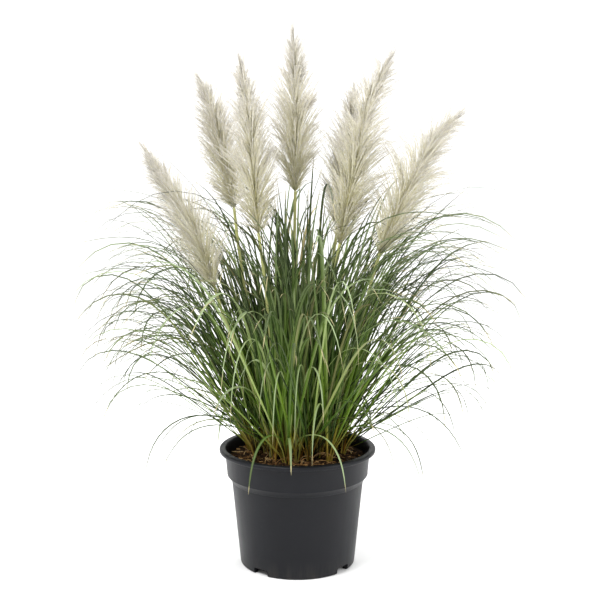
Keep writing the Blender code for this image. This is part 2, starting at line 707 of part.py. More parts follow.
def make_tuft(tuft, blades, material):
    """A leaf tuft: one flattened sheath that fans out into blades, each drawn out to a point."""
    grown = {blade.slot: blade for blade in blades}
    places = list(range(min(grown), max(grown) + 1))
    fan = fan_direction(tuft)
    outward = Vector((math.cos(tuft.azimuth), math.sin(tuft.azimuth), 0.0))
    shape = bmesh.new()

    def corner_row(height, flare, places, depth):
        centre = tuft.foot + Vector((0.0, 0.0, height)) + outward * depth * flare
        return [shape.verts.new(centre + fan * slot_width * flare * place) for place in places]

    edges = [places[0] - 0.5] + [place + 0.5 for place in places]
    sheath = []
    for height, flare in ((0.0, sheath_flare), (tuft_height, 1.0)):
        back = corner_row(height, flare, (edges[0], edges[-1]), -sheath_depth)
        flat = corner_row(height, flare, edges, 0.0)
        keels = corner_row(height, flare, places, slot_depth)
        zigzag = [flat[0]]
        for keel, corner in zip(keels, flat[1:]):
            zigzag += [keel, corner]
        for near, far in zip(flat, flat[1:]):
            shape.faces.new((back[0], near, far))
        shape.faces.new((back[0], flat[-1], back[1]))
        sheath.append((flat, keels, zigzag + [back[1], back[0]]))
    (low_flat, low_keels, low_outline), (flat, keels, outline) = sheath
    for i in range(len(outline)):
        shape.faces.new((low_outline[i - 1], low_outline[i], outline[i], outline[i - 1]))
    for i, place in enumerate(places):
        shape.faces.new((low_flat[i], low_keels[i], low_flat[i + 1]))
        row = [flat[i], flat[i + 1], keels[i]]
        if place not in grown:
            shape.faces.new(row)
            continue
        path = blade_path(grown[place])
        for share in blade_stations:
            above = [shape.verts.new(point) for point in blade_ring(grown[place], share, path)]
            for k in range(3):
                far = (k + 1) % 3
                shape.faces.new((row[k], row[far], above[far]))
                shape.faces.new((row[k], above[far], above[k]))
            row = above
        tip = shape.verts.new(path[-1][0])
        for k in range(3):
            shape.faces.new((row[k - 1], row[k], tip))
    face_outward(shape)
    add_object(f"leaf_tuft_{tuft.number:02d}", shape, material)


def main():
    clear_scene()
    make_pot(surface("charcoal plastic", (0.027, 0.027, 0.029), 0.42))
    make_soil(surface("potting soil", (0.048, 0.036, 0.020), 0.95))
    stem_colour = surface("flower stem", (0.42, 0.46, 0.16), 0.55)
    plume_colour = surface("plume hairs", (0.68, 0.62, 0.47), 0.85)
    blade_colour = surface("leaf blade", (0.13, 0.20, 0.055), 0.50)
    standing = []
    for number, stalk in enumerate(stalks, 1):
        standing.append(make_stalk(number, stalk, stem_colour))
        standing += make_plume(number, stalk, plume_colour)
    tufts = crown_tufts()
    blades = choose_blades(tufts, standing)
    for tuft in tufts:
        make_tuft(tuft, blades[tuft.number], blade_colour)


main()
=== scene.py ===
"""A potted pampas grass: the finish of its pot, soil, blades, stalks and plumes, around the fixed frame."""
import math

import bmesh
import bpy
import numpy as np
from mathutils import Matrix, Vector


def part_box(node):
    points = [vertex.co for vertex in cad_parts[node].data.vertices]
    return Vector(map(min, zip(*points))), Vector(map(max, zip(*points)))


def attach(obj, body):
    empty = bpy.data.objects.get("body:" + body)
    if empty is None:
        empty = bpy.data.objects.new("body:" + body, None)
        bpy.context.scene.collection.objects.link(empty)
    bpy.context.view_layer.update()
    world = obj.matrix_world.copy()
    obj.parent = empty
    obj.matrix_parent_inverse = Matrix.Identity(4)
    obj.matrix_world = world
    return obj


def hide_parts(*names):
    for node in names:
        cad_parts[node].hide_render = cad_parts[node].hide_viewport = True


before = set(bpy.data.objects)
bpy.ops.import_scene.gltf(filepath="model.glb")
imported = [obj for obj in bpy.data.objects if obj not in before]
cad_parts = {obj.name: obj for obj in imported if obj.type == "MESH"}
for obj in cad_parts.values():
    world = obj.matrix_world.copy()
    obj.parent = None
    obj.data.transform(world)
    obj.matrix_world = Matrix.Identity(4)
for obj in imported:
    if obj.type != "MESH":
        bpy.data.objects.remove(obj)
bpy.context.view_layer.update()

# The camera: its place in metres, and its focal length in pixels of a square picture
picture_size = 600
focal_pixels = 1121.0
sensor_width = 36.0
camera_place = (0.0045, -1.96, 0.746)
camera_dip = math.radians(7.84)

# The pot: its width and height are those of its box in the frame
pot_low, pot_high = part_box("nursery_pot")
lip_radius = 0.5 * (pot_high.x - pot_low.x)
pot_height = pot_high.z
lip_width = 0.010
lip_depth = 0.0076
lip_rounding = 0.0036
lip_foot_rounding = 0.0022
rim_rounding = 0.0014
rim_chamfer = (0.0028, 0.005)
collar_foot_height = 0.163
collar_foot_radius = 0.1262
step_rounding = 0.0013
body_top_height = 0.153
body_top_radius = 0.118
foot_radius = 0.1028
foot_rounding = 0.0034
foot_ring_width = 0.0065
floor_height = 0.010
wall = 0.0022
pot_segments = 144
sharp_pot_edge = 32

# The notches in the pot's foot, each with a drain hole inwards of it
notch_count = 4
notch_width = 0.030
notch_height = 0.0115
notch_rounding = 0.0035
notch_reach = 0.030
notch_inset = 0.004
first_notch_angle = math.radians(-129)
drain_radius = 0.008
drain_circle = 0.072

# The soil, with the waves of its surface as (length, height), and its litter
soil_edge_radius = 0.1258
soil_edge_height = 0.191
soil_crown_height = 0.205
soil_gap = 0.0006
soil_rings = 45
soil_segments = 200
soil_waves = ((0.060, 0.0006), (0.028, 0.00045), (0.013, 0.00035), (0.007, 0.00025))
waves_of_a_length = 5
crumb_height = 0.0005
bark_chips = 560
straw_bits = 190
dried_curls = 48

# Flower stalks, with their joints as shares of their length
stem_ring_corners = 6
stem_rings = 72
stem_start_depth = 0.006
stem_foot_radius = 0.0034
stem_taper = 0.0008
stem_joints = (0.16, 0.38, 0.62)
joint_spread = 0.008
joint_swelling = 0.0006
joint_step = 0.0003

# Plumes
plume_rings = 40
plume_foot_rings = 5
foot_branch_rings = 7
midline_foot_radius = 0.0019
midline_taper = 0.0016
branch_tries = 1250
foot_branches = 50
top_wisps = 40
hairs_per_branch = 11
hair_radius = 0.0002
hair_lengths = (0.006, 0.012)
branch_radius = 0.0005
full_branch_length = 0.055
open_rings = 11

# How the solid shoots are read
crown_margin = 0.015
foot_level = 0.002
least_blade_length = 0.08
solid_blade_rings = 6

# Shoots, and how many blades each has: at least so many, and more the further out it stands
crown_centre = np.array((0.0, 0.012))
crown_radius = 0.093
bundle_half_width = 0.0052
bundle_half_depth = 0.003
shoot_start_depth = 0.003
front_line = -0.035
least_blades = 13
outer_blades = 8

# Blades
blade_steps = 20
blade_middles = (np.arange(blade_steps - 1) + 0.5) / (blade_steps - 1)
blade_tries = 40
mean_blade_width = 0.0050
longest_blade = 0.80
blade_reach = 0.409
lowest_tip = 0.118
sheath_share = 0.06
sharp_blade_edge = 50

# How far blades spread, in degrees from straight up
inner_polar = 9.0
outer_polar = 57.0
polar_spread = 21.0
low_blade_share = 0.14
low_blade_polar = 34.0
side_pull = 0.18

# Room that blades leave at the pot's wall, round a plume and, seen from the camera, before one
pot_room = 0.005
plume_room = 0.016
room_before_plume = 0.026


# Meshes from arrays

def new_object(name, data):
    """A new object in the scene."""
    made = bpy.data.objects.new(name, data)
    bpy.context.scene.collection.objects.link(made)
    return made


class Shape:
    """Points, faces and point values gathered from many small parts, to be made into one mesh."""

    def __init__(self):
        self.points = []
        self.faces = {3: [], 4: []}
        self.values = {}
        self.count = 0

    def add(self, points, quads=None, triangles=None, **values):
        """Add points, faces that index into them, and values, each one number or one per point."""
        points = np.asarray(points, float).reshape(-1, 3)
        self.points.append(points)
        if quads is not None:
            self.faces[4].append(np.asarray(quads).reshape(-1, 4) + self.count)
        if triangles is not None:
            self.faces[3].append(np.asarray(triangles).reshape(-1, 3) + self.count)
        for name, value in values.items():
            value = np.broadcast_to(np.asarray(value, float), len(points))
            self.values.setdefault(name, []).append((self.count, value))
        self.count += len(points)

    def build(self, name, material, sharp_angle=None):
        """One smooth object of all that was added, with its edges sharp above an angle in degrees."""
        mesh = bpy.data.meshes.new(name)
        points = np.concatenate(self.points)
        groups = [np.concatenate(self.faces[n]) for n in (3, 4) if self.faces[n]]
        corners = np.concatenate([group.ravel() for group in groups])
        sizes = np.concatenate([np.full(len(group), group.shape[1]) for group in groups])
        mesh.vertices.add(len(points))
        mesh.vertices.foreach_set("co", points.astype(np.float32).ravel())
        mesh.loops.add(len(corners))
        mesh.loops.foreach_set("vertex_index", corners.astype(np.int32))
        mesh.polygons.add(len(sizes))
        starts = np.concatenate([[0], np.cumsum(sizes)[:-1]])
        mesh.polygons.foreach_set("loop_start", starts.astype(np.int32))
        mesh.update(calc_edges=True)
        mesh.shade_smooth()
        if sharp_angle is not None:
            mesh.set_sharp_from_angle(angle=math.radians(sharp_angle))
        for value_name, runs in self.values.items():
            column = np.zeros(len(points), np.float32)
            for start, value in runs:
                column[start:start + len(value)] = value
            mesh.attributes.new(value_name, "FLOAT", "POINT").data.foreach_set("value", column)
        mesh.materials.append(material)
        return new_object(name, mesh)


def unit(vectors):
    """Vectors made one long."""
    return vectors / np.maximum(np.linalg.norm(vectors, axis=-1, keepdims=True), 1e-12)


def tube_faces(rings, sides):
    """Quads between the rings of a tube. Ring i holds the points from i * sides on."""
    i, k = np.meshgrid(np.arange(rings - 1), np.arange(sides), indexing="ij")
    near = i * sides + k
    far = i * sides + (k + 1) % sides
    return np.stack([near, far, far + sides, near + sides], -1).reshape(-1, 4)


def tangents(paths):
    """Directions along paths of points (..., n, 3)."""
    return unit(np.gradient(paths, axis=-2))


def smooth_path(points, count):
    """A Catmull-Rom curve through the points, read at evenly spaced places."""
    points = np.asarray(points, float)
    ends = np.vstack([2 * points[0] - points[1], points, 2 * points[-1] - points[-2]])
    span_steps = 16
    t = (np.arange(span_steps) / span_steps)[:, None]
    fine = []
    for before, start, end, after in zip(ends, ends[1:], ends[2:], ends[3:]):
        fine.append(0.5 * (2 * start + (end - before) * t
                           + (2 * before - 5 * start + 4 * end - after) * t ** 2
                           + (3 * start - before - 3 * end + after) * t ** 3))
    fine = np.vstack(fine + [points[-1:]])
    travelled = np.concatenate([[0], np.cumsum(np.linalg.norm(np.diff(fine, axis=0), axis=1))])
    wanted = np.linspace(0, travelled[-1], count)
    return np.stack([np.interp(wanted, travelled, fine[:, k]) for k in range(3)], 1)


def eased(path, rounds):
    """The same path with its corners worn round, and its ends kept."""
    for _ in range(rounds):
        path[1:-1] = 0.25 * path[:-2] + 0.5 * path[1:-1] + 0.25 * path[2:]
    return path


def frames_along(path):
    """Two directions square to a path that turn with it smoothly."""
    along = tangents(path)
    first = np.empty_like(along)
    guess = np.array([0.0, 1.0, 0.0])
    for i, direction in enumerate(along):
        guess = guess - direction * (guess @ direction)
        guess = guess / np.linalg.norm(guess)
        first[i] = guess
    return first, np.cross(along, first)


def add_tube(shape, path, radii, sides, **values):
    """A round closed tube along a path."""
    first, second = frames_along(path)
    angles = np.linspace(0, math.tau, sides, endpoint=False)[None, :, None]
    rims = np.cos(angles) * first[:, None] + np.sin(angles) * second[:, None]
    points = path[:, None] + rims * np.asarray(radii)[:, None, None]
    caps = [[0, k + 1, k] for k in range(1, sides - 1)]
    top = (len(path) - 1) * sides
    caps += [[top, top + k, top + k + 1] for k in range(1, sides - 1)]
    spread = {name: np.repeat(np.broadcast_to(value, len(path)), sides) for name, value in values.items()}
    shape.add(points, tube_faces(len(path), sides), caps, **spread)


# Reading the frame's solids

def nodes_named(start):
    return sorted(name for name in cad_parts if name.startswith(start))


def welded(node):
    """A node's corner points, with the neighbours of each."""
    solid = bmesh.new()
    solid.from_mesh(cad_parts[node].data)
    bmesh.ops.remove_doubles(solid, verts=solid.verts, dist=0.00001)
    solid.verts.index_update()
    points = np.array([corner.co[:] for corner in solid.verts])
    neighbours = [sorted(edge.other_vert(corner).index for edge in corner.link_edges)
                  for corner in solid.verts]
    solid.free()
    return points, neighbours


def solid_blades(node):
    """A solid shoot's foot, and the midlines of its blades from the top of its sheath to each tip."""
    points, neighbours = welded(node)
    crown = points[np.linalg.norm(points[:, :2] - crown_centre, axis=1) < crown_radius + crown_margin]
    foot = crown[crown[:, 2] < crown[:, 2].min() + foot_level].mean(0)
    routes = []
    for tip, around in enumerate(neighbours):
        if len(around) != 3 or np.linalg.norm(points[tip] - foot) < least_blade_length:
            continue
        seen = {tip}
        level = [tip]
        route = [points[tip]]
        for _ in range(solid_blade_rings):
            level = sorted({n for corner in level for n in neighbours[corner]} - seen)
            seen.update(level)
            route.append(points[level].mean(0))
        routes.append(np.array(route[::-1]))
    return foot, routes


def solid_stem(node):
    """The midline of a stalk: the middles of its rings, from the bottom up."""
    points, _ = welded(node)
    order = np.argsort(points[:, 2])
    return points[order].reshape(-1, stem_ring_corners, 3).mean(1)


def solid_plume(node):
    """A plume's midline, and the root and tip of each of its locks."""
    points, neighbours = welded(node)
    degree = np.array([len(around) for around in neighbours])
    tips = np.flatnonzero(degree == 3)
    roots = np.array([points[neighbours[tip]].mean(0) for tip in tips])
    core = points[degree > 4]
    apex = points[degree == 4][0]
    direction = unit(apex - core[np.argmin(core[:, 2])])
    core = core[np.argsort(core @ direction)]
    rings = [group.mean(0) for group in np.array_split(core, len(core) // 4)]
    axis = smooth_path(np.vstack([rings, apex]), plume_rings)
    return axis, roots, points[tips]


# Materials

class Finish:
    """A material built from nodes around one Principled shader."""

    def __init__(self, name, roughness, **settings):
        self.material = bpy.data.materials.new(name)
        self.material.use_nodes = True
        self.nodes = self.material.node_tree.nodes
        self.links = self.material.node_tree.links
        self.shader = self.nodes["Principled BSDF"]
        self.shader.inputs["Roughness"].default_value = roughness
        for socket, value in settings.items():
            self.shader.inputs[socket.replace("_", " ")].default_value = value

    def node(self, kind, **settings):
        """A new node. Each setting is a property of the node, or else one of its inputs."""
        node = self.nodes.new(kind)
        for name, value in settings.items():
            if hasattr(node, name):
                setattr(node, name, value)
            else:
                node.inputs[name].default_value = value
        return node

    def link(self, source, target):
        self.links.new(source, target)

    def place(self, scale=(1.0, 1.0, 1.0)):
        """Object coordinates, stretched by a scale."""
        coordinates = self.node("ShaderNodeTexCoord")
        mapping = self.node("ShaderNodeMapping")
        mapping.inputs["Scale"].default_value = scale
        self.link(coordinates.outputs["Object"], mapping.inputs["Vector"])
        return mapping.outputs["Vector"]

    def value(self, name):
        """A value that the mesh has at its points."""
        return self.node("ShaderNodeAttribute", attribute_name=name).outputs["Fac"]

    def noise(self, scale, detail=4.0, vector=None, roughness=0.55):
        """Noise by place, from 0 to 1."""
        noise = self.node("ShaderNodeTexNoise")
        noise.inputs["Scale"].default_value = scale
        noise.inputs["Detail"].default_value = detail
        noise.inputs["Roughness"].default_value = roughness
        self.link(vector if vector is not None else self.place(), noise.inputs["Vector"])
        return noise.outputs["Fac"]

    def ramp(self, source, *stops):
        """Colours or greys by position: each stop is (position, colour)."""
        ramp = self.node("ShaderNodeValToRGB")
        elements = ramp.color_ramp.elements
        while len(elements) < len(stops):
            elements.new(0.5)
        for element, (position, colour) in zip(elements, stops):
            element.position = position
            element.color = (*colour, 1.0) if isinstance(colour, tuple) else (colour, colour, colour, 1.0)
        self.link(source, ramp.inputs["Fac"])
        return ramp.outputs["Color"]

    def mix(self, factor, first, second, blend="MIX"):
        """Blend two colours. Each is a colour, or the output of a node."""
        mix = self.node("ShaderNodeMix", data_type="RGBA", blend_type=blend)
        for socket, given in ((mix.inputs[0], factor), (mix.inputs[6], first), (mix.inputs[7], second)):
            if isinstance(given, bpy.types.NodeSocket):
                self.link(given, socket)
            elif isinstance(given, tuple):
                socket.default_value = (*given, 1.0)
            else:
                socket.default_value = given
        return mix.outputs[2]

    def sum(self, first, second, operation="ADD"):
        """The sum of two values, or another operation on them."""
        node = self.node("ShaderNodeMath", operation=operation)
        for socket, given in zip(node.inputs, (first, second)):
            if isinstance(given, bpy.types.NodeSocket):
                self.link(given, socket)
            else:
                socket.default_value = given
        return node.outputs[0]

    def colour(self, source):
        self.link(source, self.shader.inputs["Base Color"])

    def rough(self, source):
        self.link(source, self.shader.inputs["Roughness"])

    def bump(self, height, strength, distance):
        """Fine relief from a height between 0 and 1, over a distance in metres."""
        bump = self.node("ShaderNodeBump")
        bump.inputs["Strength"].default_value = strength
        bump.inputs["Distance"].default_value = distance
        self.link(height, bump.inputs["Height"])
        self.link(bump.outputs["Normal"], self.shader.inputs["Normal"])


def plastic_finish():
    """Charcoal plastic: a fine grain, faint vertical drag marks, pale scuffs and dust at the foot."""
    finish = Finish("charcoal plastic", 0.4, Specular_IOR_Level=0.22)
    grain = finish.noise(1400.0, 3.0)
    patches = finish.noise(9.0, 5.0)
    streaks = finish.noise(6.0, 6.0, finish.place((14.0, 14.0, 0.8)), 0.7)
    scuffs = finish.noise(60.0, 8.0, finish.place((1.0, 1.0, 3.5)), 0.75)
    base = finish.ramp(patches, (0.3, (0.0038, 0.0042, 0.0062)), (0.7, (0.0060, 0.0066, 0.0092)))
    scuffed = finish.ramp(scuffs, (0.60, 0.0), (0.74, 0.5))
    base = finish.mix(scuffed, base, (0.022, 0.022, 0.024))
    height = finish.node("ShaderNodeSeparateXYZ")
    finish.link(finish.place(), height.inputs[0])
    low = finish.node("ShaderNodeMapRange", clamp=True)
    low.inputs["From Min"].default_value = 0.035
    low.inputs["From Max"].default_value = 0.0
    finish.link(height.outputs["Z"], low.inputs["Value"])
    dust = finish.sum(low.outputs[0], finish.ramp(streaks, (0.42, 0.0), (0.72, 1.0)), "MULTIPLY")
    finish.colour(finish.mix(finish.sum(dust, 0.4, "MULTIPLY"), base, (0.060, 0.054, 0.044)))
    finish.rough(finish.ramp(finish.sum(finish.sum(patches, streaks), 0.5, "MULTIPLY"),
                             (0.36, 0.34), (0.64, 0.50)))
    finish.bump(finish.sum(grain, finish.sum(streaks, 0.8, "MULTIPLY")), 0.22, 0.0004)
    return finish.material


def soil_finish():
    """Dark peat and fine bark, darker where it is damp."""
    finish = Finish("potting soil", 0.92, Specular_IOR_Level=0.06)
    crumbs = finish.noise(260.0, 8.0, roughness=0.7)
    patches = finish.noise(22.0, 5.0)
    dark = finish.ramp(crumbs, (0.36, (0.004, 0.002, 0.001)), (0.52, (0.018, 0.009, 0.004)),
                       (0.62, (0.075, 0.036, 0.013)), (0.76, (0.23, 0.125, 0.050)))
    finish.colour(finish.mix(finish.ramp(patches, (0.35, 0.0), (0.65, 0.45)), dark, (0.022, 0.013, 0.006)))
    finish.bump(crumbs, 0.9, 0.002)
    return finish.material


def litter_finish():
    """Bark chips and straw: each bit has its own tone, from dark brown to pale tan."""
    finish = Finish("bark and straw", 0.85, Specular_IOR_Level=0.12)
    tone = finish.value("tone")
    fibre = finish.noise(420.0, 5.0, finish.place((1.0, 1.0, 0.35)))
    base = finish.ramp(tone, (0.0, (0.016, 0.007, 0.003)), (0.45, (0.100, 0.046, 0.015)),
                       (0.72, (0.33, 0.180, 0.065)), (1.0, (0.62, 0.45, 0.22)))
    shade = finish.ramp(fibre, (0.35, 0.0), (0.7, 0.6))
    finish.colour(finish.mix(shade, base, (0.05, 0.035, 0.018), "MULTIPLY"))
    finish.bump(fibre, 0.6, 0.0008)
    return finish.material


def blade_finish():
    """Grass blades: straw and red-brown sheaths, green above, a pale midrib, fine veins and dry tips, with
    painted shade towards the base and in the darkest tones.
    """
    finish = Finish("grass blade", 0.5, Specular_IOR_Level=0.09)
    along = finish.value("along")
    across = finish.value("across")
    tone = finish.value("tone")
    dry = finish.value("dry")
    mottle = finish.noise(38.0, 4.0)
    # The lower blade's green by tone: partly its own sappier colour and partly painted shade, down to near
    # black at the lowest tones, for blades deep in the clump
    lower_green_and_shade = finish.ramp(tone, (0.0, (0.007, 0.024, 0.002)), (0.30, (0.044, 0.105, 0.003)),
                        (0.65, (0.115, 0.205, 0.008)), (1.0, (0.34, 0.43, 0.13)))
    grey = finish.ramp(tone, (0.0, (0.020, 0.030, 0.013)), (0.5, (0.064, 0.086, 0.041)),
                       (1.0, (0.32, 0.40, 0.23)))
    leaf = finish.mix(finish.ramp(along, (0.30, 0.0), (0.80, 0.9)), lower_green_and_shade, grey)
    leaf = finish.mix(finish.ramp(mottle, (0.40, 0.0), (0.68, 0.18)), leaf, (0.16, 0.22, 0.07))
    rib = finish.ramp(finish.sum(across, 0.0, "ABSOLUTE"), (0.03, 0.5), (0.16, 0.0))
    leaf = finish.mix(rib, leaf, (0.36, 0.42, 0.19))
    # The sheaths by tone, straw and red-brown; their near-black lowest tones are painted shade between the
    # shoots at the base
    sheath = finish.ramp(tone, (0.0, (0.005, 0.002, 0.001)), (0.16, (0.040, 0.018, 0.003)),
                         (0.34, (0.32, 0.130, 0.017)), (0.6, (0.60, 0.400, 0.070)),
                         (1.0, (0.46, 0.42, 0.09)))
    leaf = finish.mix(finish.ramp(along, (0.03, 1.0), (0.16, 0.0)), leaf, sheath)
    # Painted shade: every blade is multiplied darker at its foot, fading out by two fifths of its length,
    # for the shade deep in the clump
    leaf = finish.mix(finish.ramp(along, (0.02, 0.6), (0.40, 0.0)), leaf, (0.28, 0.32, 0.20), "MULTIPLY")
    straw = finish.ramp(finish.sum(tone, mottle, "MULTIPLY"), (0.1, (0.34, 0.28, 0.12)),
                        (0.5, (0.52, 0.45, 0.24)))
    tip = finish.ramp(finish.sum(along, finish.sum(mottle, 0.12, "MULTIPLY")), (0.98, 0.0), (1.0, 0.8))
    leaf = finish.mix(tip, leaf, (0.46, 0.40, 0.22))
    finish.colour(finish.mix(dry, leaf, straw))
    veins = finish.node("ShaderNodeTexWave", wave_type="BANDS", bands_direction="X")
    veins.inputs["Scale"].default_value = 3.2
    veins.inputs["Distortion"].default_value = 0.4
    place = finish.node("ShaderNodeCombineXYZ")
    finish.link(across, place.inputs[0])
    finish.link(place.outputs[0], veins.inputs["Vector"])
    finish.bump(veins.outputs["Fac"], 0.35, 0.0003)
    finish.rough(finish.ramp(mottle, (0.3, 0.42), (0.7, 0.58)))
    return finish.material


def stem_finish():
    """Flower stalks: smooth yellow-green with fine lengthwise streaks, darker at the joints."""
    finish = Finish("flower stalk", 0.45, Specular_IOR_Level=0.45)
    along = finish.value("along")
    joint = finish.value("joint")
    streaks = finish.noise(300.0, 3.0, finish.place((1.0, 1.0, 0.05)))
    base = finish.ramp(along, (0.0, (0.16, 0.20, 0.055)), (0.5, (0.30, 0.34, 0.10)),
                       (1.0, (0.44, 0.46, 0.17)))
    base = finish.mix(finish.ramp(streaks, (0.35, 0.0), (0.7, 0.5)), base, (0.52, 0.50, 0.22))
    finish.colour(finish.mix(joint, base, (0.22, 0.17, 0.06)))
    finish.bump(streaks, 0.3, 0.0003)
    return finish.material


def plume_finish():
    """Silky flower hairs: cream with some olive by the midline, and browner at their ends; brightest at the
    roots by the midline, painted light against the plume's own shade.
    """
    finish = Finish("plume hairs", 0.6, Specular_IOR_Level=0.3, Subsurface_Weight=0.6,
                    Subsurface_Scale=0.002, Subsurface_Radius=(1.0, 1.0, 1.0), Sheen_Weight=0.2,
                    Sheen_Roughness=0.6)
    along = finish.value("along")
    tone = finish.value("tone")
    patches = finish.noise(55.0, 4.0)
    # Painted light: along each hair and branch, the cream is brightest at the roots by the midline, to
    # offset the plume's self-shadow, and grows browner towards the branch ends
    warm = finish.ramp(along, (0.0, (0.98, 0.91, 0.75)), (0.45, (0.96, 0.90, 0.79)),
                       (0.75, (0.78, 0.72, 0.64)), (1.0, (0.26, 0.23, 0.19)))
    cool = finish.ramp(along, (0.0, (0.98, 0.96, 0.88)), (0.45, (0.98, 0.96, 0.91)),
                       (0.75, (0.87, 0.84, 0.79)), (1.0, (0.30, 0.27, 0.24)))
    hairs = finish.mix(tone, warm, cool)
    hairs = finish.mix(finish.ramp(patches, (0.35, 0.0), (0.65, 0.25)), hairs, (0.94, 0.88, 0.76))
    finish.colour(finish.mix(finish.value("green"), hairs, (0.60, 0.56, 0.20)))
    finish.bump(finish.noise(900.0, 2.0), 0.15, 0.0003)
    return finish.material


def floor_finish():
    """A matt, nearly white floor."""
    finish = Finish("pale floor", 0.9, Specular_IOR_Level=0.1)
    finish.colour(finish.ramp(finish.noise(3.0, 2.0), (0.0, (0.90, 0.90, 0.90)), (1.0, (0.93, 0.93, 0.93))))
    return finish.material


# Pot

def lathe(profile, segments):
    """Points and quads of a profile of (radius, height) points turned about the z axis."""
    profile = np.asarray(profile)
    angles = np.linspace(0, math.tau, segments, endpoint=False)
    points = np.stack([profile[:, None, 0] * np.cos(angles), profile[:, None, 0] * np.sin(angles),
                       np.broadcast_to(profile[:, None, 1], (len(profile), segments))], -1).reshape(-1, 3)
    return points, tube_faces(len(profile), segments)


def arc(centre, radius, start, end, count):
    """Points on an arc in the (radius, height) plane, by angle in degrees from outward."""
    angles = np.radians(np.linspace(start, end, count))
    return [(centre[0] + radius * math.cos(a), centre[1] + radius * math.sin(a)) for a in angles]


def pot_profile():
    """The pot's section as (radius, height) points: up the inside, over the lip and down the outside."""
    lip_foot = pot_height - lip_depth
    collar_top = lip_radius - lip_width
    inside = [
        (foot_radius - wall, floor_height + wall),
        (body_top_radius - wall, body_top_height + 0.0006),
        (collar_foot_radius - wall, collar_foot_height + 0.0006),
        (collar_top - wall, pot_height - rim_chamfer[1]),
    ]
    lip = (
        arc((collar_top - wall + rim_chamfer[0], pot_height - rim_rounding), rim_rounding, 150, 90, 4)
        + arc((lip_radius - lip_rounding, pot_height - lip_rounding), lip_rounding, 90, 0, 8)
        + arc((lip_radius - lip_foot_rounding, lip_foot + lip_foot_rounding), lip_foot_rounding, 0, -90, 6)
    )
    collar = [
        (collar_top + 0.0010, lip_foot),
        (collar_top + 0.0002, lip_foot - 0.0006),
        (collar_top, lip_foot - 0.0016),
        (collar_foot_radius + 0.0002, collar_foot_height + 0.0024),
    ]
    step = arc((collar_foot_radius - 0.0010, collar_foot_height + 0.0010), step_rounding, 10, -50, 5) + [
        (body_top_radius + 0.0017, body_top_height + 0.0011),
        (body_top_radius + 0.0015, body_top_height + 0.0003),
        (body_top_radius + 0.0010, body_top_height - 0.0002),
        (body_top_radius, body_top_height - 0.0005),
    ]
    ring_edge = foot_radius - 0.0030
    foot = arc((ring_edge, 0.0036), foot_rounding, -5, -90, 6) + [
        (ring_edge - foot_ring_width, 0.0),
        (foot_radius - 0.0034 - foot_ring_width, floor_height),
    ]
    return inside + lip + collar + step + foot


def pot_openings():
    """The blocks that cut the foot notches and the rods that cut the drain holes, as one object."""
    openings = bmesh.new()
    for i in range(notch_count):
        turn = Matrix.Rotation(first_notch_angle + i * math.tau / notch_count, 4, "Z")
        notch = bmesh.ops.create_cube(openings, size=1.0)
        bmesh.ops.scale(openings, verts=notch["verts"], vec=(notch_reach, notch_width, 2 * notch_height))
        bmesh.ops.translate(openings, verts=notch["verts"], vec=(foot_radius - notch_inset, 0.0, 0.0))
        inward = [edge for edge in {e for v in notch["verts"] for e in v.link_edges}
                  if abs(edge.verts[0].co.y - edge.verts[1].co.y) < 1e-6
                  and abs(edge.verts[0].co.z - edge.verts[1].co.z) < 1e-6 and edge.verts[0].co.z > 0]
        rounded = bmesh.ops.bevel(openings, geom=inward, offset=notch_rounding, segments=5,
                                  affect="EDGES", profile=0.5)
        corners = {v for v in notch["verts"] if v.is_valid} | set(rounded["verts"])
        bmesh.ops.transform(openings, verts=list(corners), matrix=turn)
        drain = bmesh.ops.create_cone(openings, cap_ends=True, segments=32, radius1=drain_radius,
                                      radius2=drain_radius, depth=0.02)["verts"]
        bmesh.ops.translate(openings, verts=drain, vec=(drain_circle, 0.0, floor_height + 0.0021))
        bmesh.ops.transform(openings, verts=drain, matrix=turn)
    mesh = bpy.data.meshes.new("openings")
    openings.to_mesh(mesh)
    openings.free()
    return new_object("openings", mesh)


def make_pot(material):
    """The pot: a turned shell with a raised floor, cut by its notches and drain holes."""
    profile = pot_profile()
    points, quads = lathe(profile, pot_segments)
    middle = len(points)
    last = (len(profile) - 1) * pot_segments
    k = np.arange(pot_segments)
    far = (k + 1) % pot_segments
    under = np.stack([last + k, last + far, np.full_like(k, middle)], 1)
    floor = np.stack([far, k, np.full_like(k, middle + 1)], 1)
    points = np.vstack([points, (0, 0, floor_height), (0, 0, floor_height + wall)])
    shape = Shape()
    shape.add(points, quads[:, ::-1], np.vstack([under[:, ::-1], floor[:, ::-1]]))
    pot = shape.build("pot_shell", material)
    cutter = pot_openings()
    cut = pot.modifiers.new("openings", "BOOLEAN")
    cut.operation = "DIFFERENCE"
    cut.solver = "EXACT"
    cut.object = cutter
    depsgraph = bpy.context.evaluated_depsgraph_get()
    shell = bpy.data.meshes.new_from_object(pot.evaluated_get(depsgraph))
    pot.modifiers.clear()
    pot.data = shell
    shell.name = "pot_shell"
    bpy.data.objects.remove(cutter, do_unlink=True)
    shell.shade_smooth()
    shell.set_sharp_from_angle(angle=math.radians(sharp_pot_edge))
    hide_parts("nursery_pot")
    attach(pot, "root")


# Soil

def soil_height(radius):
    """Height of the soil's mean surface at a distance from the pot's axis."""
    return soil_crown_height - (soil_crown_height - soil_edge_height) * (radius / soil_edge_radius) ** 2


def lumps(x, y, rng):
    """Small hills and crumbs as a sum of waves in random directions."""
    height = np.zeros_like(x)
    for wave_length, wave_height in soil_waves:
        for _ in range(waves_of_a_length):
            angle = rng.uniform(0, math.tau)
            phase = rng.uniform(0, math.tau)
            way = x * math.cos(angle) + y * math.sin(angle)
            height += wave_height * np.sin(way * math.tau / wave_length + phase)
    return height


